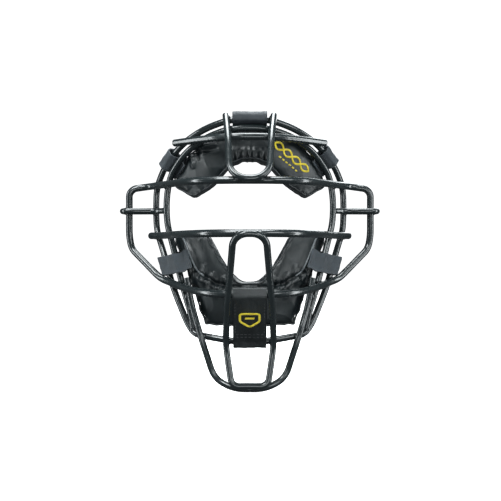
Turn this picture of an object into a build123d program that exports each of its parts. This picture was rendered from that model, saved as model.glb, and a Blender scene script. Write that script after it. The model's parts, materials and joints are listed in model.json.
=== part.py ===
"""Catcher's and umpire's face mask: a welded wire cage with two leather pads and six wrap straps.

Millimetres, +Z up. The front of the mask faces -Y and the wearer is on +Y. The origin is the
centre of the rear face opening, level with the side rods of the outer hoop.
"""

import os
from math import pi, sqrt, tan

from build123d import *

os.makedirs("parts", exist_ok=True)

# ---------------------------------------------------------------- driving dimensions
hoop_rod = 6.4  # diameter of the two hoops that the pads hang on
bar_rod = 7.0  # diameter of the bars across the face
loop_rod = 6.2  # diameter of the upright loops
ear_rod = 6.0  # diameter of the ear loops

wrap_radius = 110.0  # both hoops lie on an upright cylinder of this radius
wrap_axis_y = 53.7  # where that cylinder's axis stands, behind the origin

weld_radius = 3.0
weld_reach = 7.3  # rods whose centre lines come nearer than this are welded

pad_front = 105.4  # radius of the pads' front face about the wrap axis
pad_back = 80.0  # radius of the face that the wearer feels
leather = 1.6  # thickness of the pad leather and the strap leather
edge_past_hoop = 4.0  # how far the pads' edge stands outside the inner hoop
chin_edge_inset = 12.0  # how far the jaw pad's bottom edge stays inside the outer hoop

strap_centre = 5.0  # distance of a strap's middle from the centre of the rod it wraps
tab_width = 20.0
crown_width = 33.0
chin_width = 31.4
flap_end = -30.0  # how far behind the hoop a strap's flap reaches
hook_pile = 1.2  # thickness of each half of the hook and loop fastener
pile_gap = 0.4
snap_radius = 5.5
snap_inset = 9.0  # from a flap's end to the middle of its snap
fold_end = 1.6  # a strap's front leaf stops this far before the hinge line

chin_patch = (22.0, 18.0, 4.0)  # width, height and corner radius of the embroidery
brow_patch = (46.0, 13.0, 5.0)
brow_patch_place = (40.0, 90.0, -38.0)  # x, z and slope in degrees
emblem_rise = 0.8  # how far the embroidery stands above the leather

block_front = 30.0  # cutting blanks for the pads: a front wall, a depth and a height
block_depth = 110.0
block_half_height = 140.0


def wrap_depth(x):
    """Y of the wrap cylinder's front at a given X."""
    return wrap_axis_y - sqrt(wrap_radius**2 - x**2)


def on_wrap(*outline):
    """Front-view points (x, z) laid onto the wrap cylinder."""
    return [(x, wrap_depth(x), z) for x, z in outline]


def both_sides(half):
    """A right-hand half of a symmetric rod, followed by its mirror image."""
    return [*half, *[(-x, y, z) for x, y, z in reversed(half)]]


# ---------------------------------------------------------------- rod routes
# Right-hand halves. The two hoops run over the forehead and down to the chin.
outer_hoop_half = on_wrap(
    (16, 125.8), (44, 117.5), (67, 104.5), (85, 86), (96, 65), (96.8, 42), (95.8, 21),
    (87.5, 0), (76, -37), (61, -70), (53.5, -80.5), (34, -83), (13, -86),
)
inner_hoop_half = on_wrap(
    (54.6, -74.6), (57, -62), (66.5, -32), (76, 4), (83.2, 28), (83.8, 52), (79.5, 75),
    (64, 95.5), (42, 109.3), (16, 117.2),
)
# One rod makes the upper eye bar, both wings and the mouth bar.
wing_loop_half = [
    (24, -93, 63.5), (54, -79, 64), (76, -44, 65), (89, -19.5, 66), (101, -3, 66.3),
    (123.5, -4, 63), (123.5, -4, 16), (121, -5, 2.5), (89, -22, -27.5), (76.5, -32.2, -31.5),
    (61.5, -49.5, -36), (42, -70, -38.8), (18, -82.6, -39.5),
]
cheek_bar_half = [
    (101, -5, 15.5), (85, -24.7, 15.5), (66, -68, 15.5), (44, -99, 15.5), (16, -113, 15.5),
]
brow_bar_half = [(73.5, -36.2, 105.5), (50, -52.3, 106), (20, -72, 106)]
forehead_loop_half = [(22.8, -57.3, 128.5), (20, -78.5, 106), (17.6, -99.6, 64.5)]
chin_loop_half = [
    (14, -120, 15), (16.2, -106, -8), (20.3, -87.5, -48), (22.8, -57, -89), (17, -62.6, -126.8),
]
chin_guard_half = [
    (61.2, -40.2, -27), (55.6, -43.6, -55), (47.5, -52.8, -79), (34, -49, -122),
    (15, -57.5, -130.5),
]
ear_loop_right = [
    (85, -14.9, 40.6), (97, -6.4, 40.6), (115.5, -10.5, 40.6), (130, -10.5, 40.6),
    (130, 2.5, 40.6), (112, 2.5, 40.6), (99.9, 1, 40.6),
]
ear_loop_left = [(-x, y, z) for x, y, z in ear_loop_right]


def bend_radii(points, closed, set_bends):
    """One radius for each corner: 45% of the shorter run beside it, unless set_bends names it."""
    corners = [Vector(*point) for point in points]
    count = len(corners)
    radii = []
    for index in range(0 if closed else 1, count if closed else count - 1):
        here = corners[index]
        before = corners[index - 1] - here
        after = corners[(index + 1) % count] - here
        half_turn = (180 - before.get_angle(after)) / 2 * pi / 180
        easy_bend = 0.45 * min(before.length, after.length) / tan(half_turn)
        radii.append(set_bends.get(index, easy_bend))
    return radii


def rod_route(points, closed=False, set_bends=None):
    """Centre line of a bent rod: straight runs joined by tangent arcs."""
    with BuildLine() as route:
        FilletPolyline(*points, radius=bend_radii(points, closed, set_bends or {}), close=closed)
    return route.wire()


def bent_rod(route, diameter):
    """A round rod along its centre line."""
    with BuildPart() as rod:
        with BuildSketch(Plane(route @ 0, z_dir=route % 0)):
            Circle(diameter / 2)
        sweep(path=route)
    return rod


def keep(builder, name):
    """Label a finished piece and write it."""
    builder.part.label = name
    export_step(builder.part, f"parts/{name}.step")


wing_corner, crown_bend, chin_crown, chin_foot = 9.0, 17.2, 13.6, 8.0
routes = {
    "outer_hoop": rod_route(both_sides(outer_hoop_half), closed=True),
    "inner_hoop": rod_route(both_sides(inner_hoop_half)),
    "wing_loop": rod_route(
        both_sides(wing_loop_half), closed=True, set_bends={5: wing_corner, 20: wing_corner}
    ),
    "cheek_bar": rod_route(both_sides(cheek_bar_half)),
    "brow_bar": rod_route(both_sides(brow_bar_half)),
    "forehead_loop": rod_route(
        both_sides(forehead_loop_half), set_bends={2: crown_bend, 3: crown_bend}
    ),
    "chin_loop": rod_route(
        both_sides(chin_loop_half),
        closed=True,
        set_bends={0: chin_crown, 9: chin_crown, 3: 30.0, 6: 30.0, 4: chin_foot, 5: chin_foot},
    ),
    "chin_guard_rod": rod_route(both_sides(chin_guard_half)),
    "ear_loop_right": rod_route(ear_loop_right, set_bends={3: ear_rod, 4: ear_rod}),
    "ear_loop_left": rod_route(ear_loop_left, set_bends={3: ear_rod, 4: ear_rod}),
}
diameters = {
    "outer_hoop": hoop_rod,
    "inner_hoop": hoop_rod,
    "wing_loop": bar_rod,
    "cheek_bar": bar_rod,
    "brow_bar": bar_rod,
    "forehead_loop": loop_rod,
    "chin_loop": loop_rod,
    "chin_guard_rod": loop_rod,
    "ear_loop_right": ear_rod,
    "ear_loop_left": ear_rod,
}
for name, route in routes.items():
    rod_part = bent_rod(route, diameters[name])
    straight_tube = pi * diameters[name] ** 2 / 4 * route.length
    print(name, "length", round(route.length), "volume ratio", rod_part.part.volume / straight_tube)
    keep(rod_part, name)


# ---------------------------------------------------------------- welds
def weld_points(route_a, route_b):
    """Middles of the places where two rods come within welding reach, nearest first."""
    near = []
    for edge_a in route_a.edges():
        for edge_b in route_b.edges():
            gap, on_a, on_b = edge_a.distance_to_with_closest_points(edge_b)
            if gap < weld_reach:
                near.append((gap, (on_a + on_b) / 2))
    points = []
    for _, point in sorted(near, key=lambda found: (round(found[0], 1), -abs(found[1].X))):
        if all((point - other).length > 3 * weld_radius for other in points):
            points.append(point)
    return points


weld_groups = {
    "crown_welds": [
        ("outer_hoop", "brow_bar"), ("inner_hoop", "brow_bar"), ("outer_hoop", "forehead_loop"),
        ("brow_bar", "forehead_loop"), ("wing_loop", "forehead_loop"),
    ],
    "side_welds": [
        ("outer_hoop", "wing_loop"), ("inner_hoop", "wing_loop"), ("outer_hoop", "cheek_bar"),
        ("inner_hoop", "cheek_bar"),
    ],
    "ear_welds": [
        (hoop, ear)
        for ear in ("ear_loop_left", "ear_loop_right")
        for hoop in ("outer_hoop", "inner_hoop", "wing_loop")
    ],
    "chin_welds": [
        ("cheek_bar", "chin_loop"), ("wing_loop", "chin_loop"), ("outer_hoop", "chin_loop"),
        ("chin_guard_rod", "chin_loop"), ("wing_loop", "chin_guard_rod"),
        ("outer_hoop", "chin_guard_rod"), ("inner_hoop", "chin_guard_rod"),
        ("outer_hoop", "inner_hoop"),
    ],
}
for name, pairs in weld_groups.items():
    beads = [point for a, b in pairs for point in weld_points(routes[a], routes[b])]
    with BuildPart() as welds:
        with Locations(*beads):
            Sphere(weld_radius)
    print(name, len(beads), [tuple(round(v, 1) for v in bead) for bead in beads])
    keep(welds, name)


# ---------------------------------------------------------------- pads
def hoop_frame(x, z):
    """Plane across the outer hoop near (x, z): X points outwards, Y forwards, Z along the rod."""
    guess = Vertex(x, wrap_depth(x), z)
    _, origin, _ = routes["outer_hoop"].distance_to_with_closest_points(guess)
    radial = Vector(origin.X, origin.Y - wrap_axis_y, 0).normalized()
    along = routes["outer_hoop"].tangent_at(origin)
    outwards = radial.cross(along).normalized()
    if outwards.X * origin.X + outwards.Z * origin.Z < 0:
        outwards = -outwards
    return Plane(origin, x_dir=outwards, z_dir=outwards.cross(radial))


def edge_inset(frame):
    """How far the pad's edge lies inside the outer hoop, at a strap over both hoops."""
    return routes["inner_hoop"].distance_to(Vertex(frame.origin)) - edge_past_hoop


def pad_body(outline, edges, back, front, inset):
    """A front-view outline through the wrap, trimmed square to it along the given edges."""
    with BuildPart() as body:
        with BuildSketch(Plane.XZ.offset(-block_front)):
            with BuildLine():
                Polyline(*outline, *[(-x, z) for x, z in reversed(outline)], close=True)
            make_face()
            if inset:
                offset(amount=-inset, kind=Kind.INTERSECTION)
        extrude(amount=block_depth)
        with BuildSketch(Plane.XY.offset(-block_half_height)):
            with Locations((0, wrap_axis_y)):
                Circle(front)
                Circle(back, mode=Mode.SUBTRACT)
        extrude(amount=2 * block_half_height, mode=Mode.INTERSECT)
        for frame, edge in edges:
            wall = Plane(frame.origin - frame.x_dir * (edge + inset), z_dir=frame.x_dir)
            split(bisect_by=wall, keep=Keep.BOTTOM)
    return body


tab_places = {
    "upper_left_tab": (-81, 92), "upper_right_tab": (79, 95),
    "lower_left_tab": (-83, -13), "lower_right_tab": (83, -12.5),
}
frames = {name: hoop_frame(x, z) for name, (x, z) in tab_places.items()}
frames["crown_strap"] = hoop_frame(0, 125)
frames["chin_strap"] = hoop_frame(0, -86)

# The brow pad's edge is also square to the hoop between the crown and the upper tabs, and at
# the temples.
between_straps = [hoop_frame(side * 50, 114) for side in (-1, 1)]
temples = [hoop_frame(side * 95, 70) for side in (-1, 1)]
brow_edges = [
    (frame, edge_inset(frame))
    for frame in (
        frames["upper_left_tab"], frames["upper_right_tab"], frames["crown_strap"],
        *between_straps, *temples,
    )
]
jaw_edges = [
    (frame, edge_inset(frame)) for frame in (frames["lower_left_tab"], frames["lower_right_tab"])
]
jaw_edges.append((frames["chin_strap"], chin_edge_inset))

# Front-view outlines, right-hand halves, drawn past the edges that are trimmed.
brow_outline = [(100, 140), (100, 64.5), (79, 64.5), (56, 51), (34, 63.5), (20, 80), (9, 86)]
jaw_outline = [
    (70, -100), (100, -20), (88, 8), (78, 14), (52, 22), (39, 15), (22, -14), (9, -28),
]
for pad, outline, edges in (
    ("brow_pad", brow_outline, brow_edges),
    ("jaw_pad", jaw_outline, jaw_edges),
):
    foam = pad_body(outline, edges, pad_back + leather, pad_front - leather, leather)
    with BuildPart() as cover:
        add(pad_body(outline, edges, pad_back + leather, pad_front, 0).part)
        add(foam.part, mode=Mode.SUBTRACT)
    keep(foam, f"{pad}_foam")
    keep(cover, f"{pad}_cover")
    keep(pad_body(outline, edges, pad_back, pad_back + leather, 0), f"{pad}_lining")


# ---------------------------------------------------------------- straps
def band(frame, width, *line, radii, rolled_start=False):
    """A leather band: a line in the frame's cross-section, given its thickness and width."""
    with BuildPart() as strap:
        with BuildSketch(frame.offset(-width / 2)):
            with BuildLine():
                FilletPolyline(*line, radius=radii)
            trace(line_width=leather)
            if rolled_start:
                with Locations(line[0]):
                    Circle(leather / 2)
        extrude(amount=width)
    return strap


def block(frame, width, corner, far_corner):
    """A flat patch between two corners of the frame's cross-section."""
    with BuildPart() as patch:
        with BuildSketch(frame.offset(-width / 2)):
            with Locations(((corner[0] + far_corner[0]) / 2, (corner[1] + far_corner[1]) / 2)):
                Rectangle(abs(far_corner[0] - corner[0]), abs(far_corner[1] - corner[1]))
        extrude(amount=width)
    return patch


strap_widths = {"crown_strap": crown_width, "chin_strap": chin_width}
mouth_bar = (-46.4, 26.9)  # centre of the mouth bar in the chin strap's cross-section
over_bar = bar_rod / 2 + leather / 2 + 1.2

for name, frame in frames.items():
    width = strap_widths.get(name, tab_width)
    edge = chin_edge_inset if name == "chin_strap" else edge_inset(frame)
    wall = -edge
    hoop_radius = Vector(frame.origin.X, frame.origin.Y - wrap_axis_y, 0).length
    pad_face = pad_front - hoop_radius + leather / 2 + pile_gap
    if name == "chin_strap":
        leaf_line = [
            (-40, pad_face), (-52.5, pad_face), (mouth_bar[0] - over_bar, mouth_bar[1] + 2),
            (mouth_bar[0] + 1.5, mouth_bar[1] + over_bar + 1), (-1, strap_centre + 0.4),
            (strap_centre, strap_centre - 1), (strap_centre, fold_end),
        ]
        leaf_radii = [3.5, 3.5, 3.5, 3.5, 1.5]
    else:
        leaf_line = [
            (wall - 24, pad_face), (wall - 14, pad_face), (wall - 9, strap_centre + 0.5),
            (strap_centre, strap_centre), (strap_centre, fold_end),
        ]
        leaf_radii = [3.0, 3.0, 3.4]
    keep(band(frame, width, *leaf_line, radii=leaf_radii), f"{name}_leaf")

    flap_wall = wall + 2 * hook_pile + pile_gap + leather / 2
    flap_line = [
        (strap_centre, 0), (strap_centre, -strap_centre), (flap_wall, -strap_centre - 2),
        (flap_wall, flap_end),
    ]
    flap = band(frame, width, *flap_line, radii=[3.0, 2.0], rolled_start=True)
    if name in strap_widths:
        # Leather straps close with a snap: the socket is riveted to the flap.
        snap = Plane(
            frame.from_local_coords((flap_wall - leather / 2, flap_end + snap_inset, 0)),
            z_dir=frame.x_dir,
        )
        with BuildPart() as socket:
            with BuildSketch(snap.offset(-hook_pile)):
                Circle(snap_radius)
            extrude(amount=hook_pile)
            with BuildSketch(snap.offset(leather)):
                Circle(snap_radius + 0.8)
            extrude(amount=1.0, taper=25)
        with BuildPart() as stud:
            with BuildSketch(snap.offset(-hook_pile - pile_gap)):
                Circle(snap_radius - 1)
            extrude(amount=-hook_pile)
        keep(socket, f"{name}_snap_cap")
        keep(stud, f"{name}_snap_stud")
    else:
        hook = (wall + hook_pile + pile_gap, flap_end + 2)
        keep(
            block(frame, width - 3, hook, (hook[0] + hook_pile, flap_end + 16)),
            f"{name}_hook_patch",
        )
        keep(
            block(frame, width - 3, (wall, flap_end + 2), (wall + hook_pile, flap_end + 16)),
            f"{name}_loop_patch",
        )
    keep(flap, f"{name}_flap")
    hinge = frame.from_local_coords((strap_centre, 0, 0))
    print("hinge", name, [round(v, 2) for v in hinge], [round(v, 4) for v in frame.z_dir])


# ---------------------------------------------------------------- embroidered emblems
chin_frame = frames["chin_strap"]
leaf_top = Vector(mouth_bar[0] + 1.5, mouth_bar[1] + over_bar + 1)
leaf_foot = Vector(-1, strap_centre + 0.4)
leaf_run = (leaf_foot - leaf_top).normalized()
leaf_face = (leaf_top + leaf_foot) / 2 + Vector(-leaf_run.Y, leaf_run.X) * leather / 2
emblem_plane = Plane(
    chin_frame.from_local_coords(leaf_face),
    x_dir=chin_frame.z_dir,
    z_dir=chin_frame.x_dir * -leaf_run.Y + chin_frame.y_dir * leaf_run.X,
)
with BuildPart() as chin_emblem:
    with BuildSketch(emblem_plane):
        RectangleRounded(*chin_patch)
    extrude(amount=emblem_rise)
keep(chin_emblem, "chin_emblem")

with BuildPart() as brow_emblem:
    with BuildSketch(Plane.XZ):
        with Locations(Location(brow_patch_place[:2], brow_patch_place[2])):
            RectangleRounded(*brow_patch)
    extrude(amount=block_depth)
    with BuildSketch(Plane.XY):
        with Locations((0, wrap_axis_y)):
            Circle(pad_front + emblem_rise)
            Circle(pad_front, mode=Mode.SUBTRACT)
    extrude(amount=block_half_height, mode=Mode.INTERSECT)
keep(brow_emblem, "brow_emblem")
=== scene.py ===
"""Workshop for a wire face mask: finishes the cage and sews the pads, wrap straps and emblems."""

import json
from math import cos, pi, radians, sin

import bpy
import numpy as np
from mathutils import Matrix, Vector
from mathutils.kdtree import KDTree


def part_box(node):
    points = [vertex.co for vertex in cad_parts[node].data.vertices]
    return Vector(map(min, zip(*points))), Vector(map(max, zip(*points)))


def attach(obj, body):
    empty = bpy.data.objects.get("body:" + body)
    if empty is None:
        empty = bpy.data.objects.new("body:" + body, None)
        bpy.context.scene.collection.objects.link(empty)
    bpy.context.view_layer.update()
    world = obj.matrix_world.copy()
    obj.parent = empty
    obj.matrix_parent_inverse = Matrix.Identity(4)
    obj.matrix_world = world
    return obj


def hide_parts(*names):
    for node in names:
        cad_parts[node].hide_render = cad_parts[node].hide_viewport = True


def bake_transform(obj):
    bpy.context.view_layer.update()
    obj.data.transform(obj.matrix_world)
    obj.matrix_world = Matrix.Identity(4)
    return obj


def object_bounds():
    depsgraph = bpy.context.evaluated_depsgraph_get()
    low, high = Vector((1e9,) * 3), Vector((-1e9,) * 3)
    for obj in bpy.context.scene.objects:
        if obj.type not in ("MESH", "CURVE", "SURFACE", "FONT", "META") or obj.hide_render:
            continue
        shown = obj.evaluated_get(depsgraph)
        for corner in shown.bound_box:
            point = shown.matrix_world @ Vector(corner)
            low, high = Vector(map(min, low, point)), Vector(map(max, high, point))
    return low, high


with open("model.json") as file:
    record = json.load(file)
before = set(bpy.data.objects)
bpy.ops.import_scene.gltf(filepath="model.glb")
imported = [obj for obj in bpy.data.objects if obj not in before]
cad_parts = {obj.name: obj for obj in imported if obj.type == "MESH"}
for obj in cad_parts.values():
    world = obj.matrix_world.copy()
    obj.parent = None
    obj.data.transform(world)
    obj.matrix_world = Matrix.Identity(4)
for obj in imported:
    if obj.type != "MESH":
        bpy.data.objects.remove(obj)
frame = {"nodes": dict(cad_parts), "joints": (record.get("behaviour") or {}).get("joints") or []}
cad_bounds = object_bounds()

bl_info = {
    "name": "Wire Face Mask Workshop",
    "version": (1, 0, 0),
    "blender": (4, 5, 0),
    "location": "3D View > Sidebar > Face Mask",
    "description": "Finishes a welded wire face mask: coating, pads, wrap straps and emblems",
    "category": "Object",
}

MM = 0.001
NODES = frame["nodes"]
RODS = (
    "outer_hoop", "inner_hoop", "wing_loop", "cheek_bar", "brow_bar", "forehead_loop",
    "chin_loop", "chin_guard_rod", "ear_loop_left", "ear_loop_right",
)
OPEN_RODS = (
    "inner_hoop", "cheek_bar", "brow_bar", "forehead_loop", "chin_guard_rod", "ear_loop_left",
    "ear_loop_right",
)
TABS = ("upper_left_tab", "upper_right_tab", "lower_left_tab", "lower_right_tab")
LEATHER_STRAPS = ("crown_strap", "chin_strap")

# In a strap's own frame.
HINGE_OUT = 5 * MM  # how far outside the rod a strap's hinge stands
CHIN_BAR = Vector((-46.4, 26.9)) * MM  # where the bar is that the chin strap hangs on


# ------------------------------------------------------------------ sizes and colours
def length(text, default, note):
    """A length in metres that a user may change."""
    return bpy.props.FloatProperty(
        name=text, description=note, default=default, min=0.0, subtype="DISTANCE", unit="LENGTH"
    )


def colour(text, default, note):
    """A surface colour that a user may change."""
    return bpy.props.FloatVectorProperty(
        name=text, description=note, default=default, size=3, min=0.0, max=1.0, subtype="COLOR"
    )


class MaskSizes(bpy.types.PropertyGroup):
    """Sizes of the sewn pieces and of the studio."""

    wrap_axis: length("Wrap Axis", 53.7 * MM, "How far behind the origin the wrap's axis stands")
    leather: length("Leather", 1.6 * MM, "Thickness of the strap leather and the tabs")
    voxel: length("Pad Grid", 3.1 * MM, "Size of the pad skin's faces before it is sewn")
    swell: length("Swell", 5.0 * MM, "How far the middle of a pad's skin may puff out")
    seam_reach: length("Seam Reach", 15.0 * MM, "How far from a seam the pad is held down")
    rod_side: length("Rod Side", 105.9 * MM, "Radius that the pads keep to behind the hoops")
    piping: length("Piping", 1.0 * MM, "Radius of the piping along the pads' seams")
    lining: length("Lining", 0.9 * MM, "Thickness of the brushed lining on a pad's back")
    stitch: length("Stitch", 2.6 * MM, "Length of one stitch")
    stitch_gap: length("Stitch Spacing", 3.6 * MM, "Distance from one stitch to the next")
    thread: length("Thread", 0.32 * MM, "Radius of the sewing thread")
    satin_gap: length("Satin Spacing", 0.5 * MM, "Distance between the embroidery's stitches")
    bead: length("Weld Bead", 3.7 * MM, "Radius of a weld bead")
    floor_gap: length("Floor Gap", 1.0 * MM, "Clear height between the cage's foot and the floor")
    camera_distance: length("Camera Distance", 700 * MM, "How far in front of the mask the lens is")
    camera_lens: bpy.props.FloatProperty(
        name="Lens", description="Focal length", default=48.8, min=10.0, unit="CAMERA"
    )


class MaskColours(bpy.types.PropertyGroup):
    """Colours of the finishes."""

    coating: colour("Coating", (0.0115, 0.0158, 0.0172), "Satin coating on the rods")
    leather: colour("Pad Leather", (0.0052, 0.0086, 0.0100), "Soft leather of the pads")
    strap: colour("Strap Leather", (0.0095, 0.0125, 0.0138), "Pebbled leather of the chin strap")
    crown: colour("Crown Strap", (0.024, 0.029, 0.035), "Matt leather of the crown strap")
    webbing: colour("Tab Cloth", (0.037, 0.046, 0.055), "Coated cloth of the four tabs")
    lining: colour("Lining", (0.020, 0.021, 0.024), "Brushed cloth on the back of the pads")
    # The welt tone is far lighter than the pad leather: a painted highlight along the cords on the
    # jaw pad's folds.
    welt_painted_highlight: colour("Welt", (0.15, 0.165, 0.175), "Polished cord on the front of the pads")
    piping: colour("Piping", (0.014, 0.017, 0.019), "Leather cord in the seams")
    thread: colour("Thread", (0.045, 0.050, 0.055), "Sewing thread")
    embroidery: colour("Embroidery", (1.0, 0.74, 0.035), "Bright embroidery thread")
    pile: colour("Pile", (0.010, 0.010, 0.011), "Hook and loop pile")
    snap: colour("Snap", (0.015, 0.015, 0.017), "Blackened snap metal")
    floor: colour("Floor", (0.93, 0.93, 0.93), "Studio floor and backdrop")


def sizes():
    """The sizes set in the sidebar."""
    return bpy.context.scene.mask_sizes


def colours():
    """The colours set in the sidebar."""
    return bpy.context.scene.mask_colours


# ------------------------------------------------------------------ modelling helpers
def pick(obj):
    """Select one object alone and make it active."""
    if bpy.context.object and bpy.context.object.mode != "OBJECT":
        bpy.ops.object.mode_set(mode="OBJECT")
    bpy.ops.object.select_all(action="DESELECT")
    obj.select_set(True)
    bpy.context.view_layer.objects.active = obj


def start_edit(obj, part="EDGE"):
    """Enter edit mode with nothing selected."""
    pick(obj)
    bpy.ops.object.mode_set(mode="EDIT")
    bpy.ops.mesh.select_mode(type=part)
    bpy.ops.mesh.select_all(action="DESELECT")


def end_edit():
    """Leave edit mode."""
    bpy.ops.object.mode_set(mode="OBJECT")


def select_edges(obj, wanted):
    """In edit mode: select the edges whose two end points pass the test."""
    end_edit()
    points = obj.data.vertices
    for edge in obj.data.edges:
        edge.select = wanted(*(points[index].co for index in edge.vertices))
    bpy.ops.object.mode_set(mode="EDIT")


def primitive(add, **settings):
    """A new primitive, with nothing else selected."""
    bpy.ops.object.select_all(action="DESELECT")
    add(**settings)
    return bpy.context.object


def merge_close(obj, distance=0.01 * MM):
    """Merge the points that lie closer than this."""
    start_edit(obj, "VERT")
    bpy.ops.mesh.select_all(action="SELECT")
    bpy.ops.mesh.remove_doubles(threshold=distance)
    end_edit()


def modify(obj, kind, **settings):
    """Add a modifier and apply it."""
    pick(obj)
    bpy.ops.object.modifier_add(type=kind)
    modifier = obj.modifiers[-1]
    for key, value in settings.items():
        setattr(modifier, key, value)
    bpy.ops.object.modifier_apply(modifier=modifier.name)


def subdivide(obj, levels):
    """Round a mesh by subdivision."""
    modify(obj, "SUBSURF", levels=levels, render_levels=levels)


def smooth(obj, angle=180):
    """Shade smooth, but for edges sharper than this angle in degrees."""
    pick(obj)
    bpy.ops.object.shade_smooth_by_angle(angle=radians(angle))


def outward(obj):
    """Turn all the faces outwards."""
    start_edit(obj, "FACE")
    bpy.ops.mesh.select_all(action="SELECT")
    bpy.ops.mesh.normals_make_consistent(inside=False)
    end_edit()


def place_mesh(obj, matrix):
    """Move the mesh itself, so that the object stays at the origin."""
    obj.matrix_world = matrix @ obj.matrix_world
    pick(obj)
    bpy.ops.object.transform_apply(location=True, rotation=True, scale=True)


def read_points(mesh):
    """A mesh's points as rows of X, Y and Z."""
    points = np.empty(len(mesh.vertices) * 3)
    mesh.vertices.foreach_get("co", points)
    return points.reshape(-1, 3)


def read_normals(mesh):
    """A mesh's directions out of the surface, point by point."""
    normals = np.empty(len(mesh.vertices) * 3)
    mesh.vertices.foreach_get("normal", normals)
    return normals.reshape(-1, 3)


def write_points(mesh, points):
    """Move a mesh's points."""
    mesh.vertices.foreach_set("co", np.ascontiguousarray(points).ravel())
    mesh.update()


def copy_node(node, name):
    """A merged copy of a CAD node's mesh, free of its body."""
    obj = bpy.data.objects.new(name, NODES[node].data.copy())
    bpy.context.scene.collection.objects.link(obj)
    obj.data.materials.clear()
    merge_close(obj)
    return obj


def join(objects, name):
    """Join several objects into the first."""
    pick(objects[0])
    for obj in objects:
        obj.select_set(True)
    bpy.ops.object.join()
    objects[0].name = name
    return objects[0]


def finish_piece(obj, material, body="root", replaces=()):
    """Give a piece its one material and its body."""
    obj.data.materials.clear()
    obj.data.materials.append(material)
    if body:
        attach(obj, body)
    if replaces:
        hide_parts(*replaces)


# ------------------------------------------------------------------ material helpers
def new_material(name):
    """A node material, its tree and its shader."""
    material = bpy.data.materials.new(name)
    material.use_nodes = True
    return material, material.node_tree, material.node_tree.nodes["Principled BSDF"]


def add_node(tree, kind, **settings):
    """A node with its inputs or its settings filled in."""
    node = tree.nodes.new(kind)
    for key, value in settings.items():
        if key in node.inputs:
            node.inputs[key].default_value = value
        else:
            setattr(node, key, value)
    return node


def coordinates(tree, turn=(0, 0, 0), kind="Object"):
    """Places on a piece, turned about its origin."""
    source = add_node(tree, "ShaderNodeTexCoord")
    mapping = add_node(tree, "ShaderNodeMapping", Rotation=turn)
    tree.links.new(source.outputs[kind], mapping.inputs["Vector"])
    return mapping.outputs["Vector"]


def ramp(tree, value, low, high, from_low=0.35, from_high=0.65):
    """A value stretched to a new range."""
    node = add_node(tree, "ShaderNodeMapRange")
    node.inputs["From Min"].default_value = from_low
    node.inputs["From Max"].default_value = from_high
    node.inputs["To Min"].default_value = low
    node.inputs["To Max"].default_value = high
    tree.links.new(value, node.inputs["Value"])
    return node.outputs["Result"]


def two_colours(tree, shader, value, dark, light):
    """Base colour that runs between two tones."""
    mix = add_node(tree, "ShaderNodeMix", data_type="RGBA")
    mix.inputs["A"].default_value = (*dark, 1)
    mix.inputs["B"].default_value = (*light, 1)
    tree.links.new(value, mix.inputs["Factor"])
    tree.links.new(mix.outputs["Result"], shader.inputs["Base Color"])


def bump(tree, shader, height, strength, distance, under=None):
    """Fine relief, which may lie on top of a coarser one."""
    node = add_node(tree, "ShaderNodeBump", Strength=strength, Distance=distance)
    tree.links.new(height, node.inputs["Height"])
    if under:
        tree.links.new(under.outputs["Normal"], node.inputs["Normal"])
    tree.links.new(node.outputs["Normal"], shader.inputs["Normal"])
    return node


def shade(tone, factor):
    """A tone made lighter or darker."""
    return tuple(min(1.0, channel * factor) for channel in tone)


def set_inputs(shader, **values):
    """Constants on the shader's own sockets; an underline stands for a space."""
    for key, value in values.items():
        shader.inputs[key.replace("_", " ")].default_value = value


def coating_material():
    """Thick satin coating on steel rod: orange peel, and duller where it was handled."""
    material, tree, shader = new_material("satin_coating")
    tone = tuple(colours().coating)
    where = coordinates(tree)
    patches = add_node(tree, "ShaderNodeTexNoise", Scale=38.0, Detail=4.0, Roughness=0.6)
    peel = add_node(tree, "ShaderNodeTexNoise", Scale=420.0, Detail=2.0, Roughness=0.5)
    specks = add_node(tree, "ShaderNodeTexVoronoi", Scale=1500.0)
    for node in (patches, peel, specks):
        tree.links.new(where, node.inputs["Vector"])
    two_colours(tree, shader, patches.outputs["Fac"], shade(tone, 0.75), shade(tone, 1.5))
    tree.links.new(ramp(tree, patches.outputs["Fac"], 0.17, 0.29), shader.inputs["Roughness"])
    under = bump(tree, shader, peel.outputs["Fac"], 0.22, 0.25 * MM)
    bump(tree, shader, specks.outputs["Distance"], 0.05, 0.1 * MM, under)
    set_inputs(shader, Specular_IOR_Level=0.55, Coat_Weight=0.45, Coat_Roughness=0.12)
    return material


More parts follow.
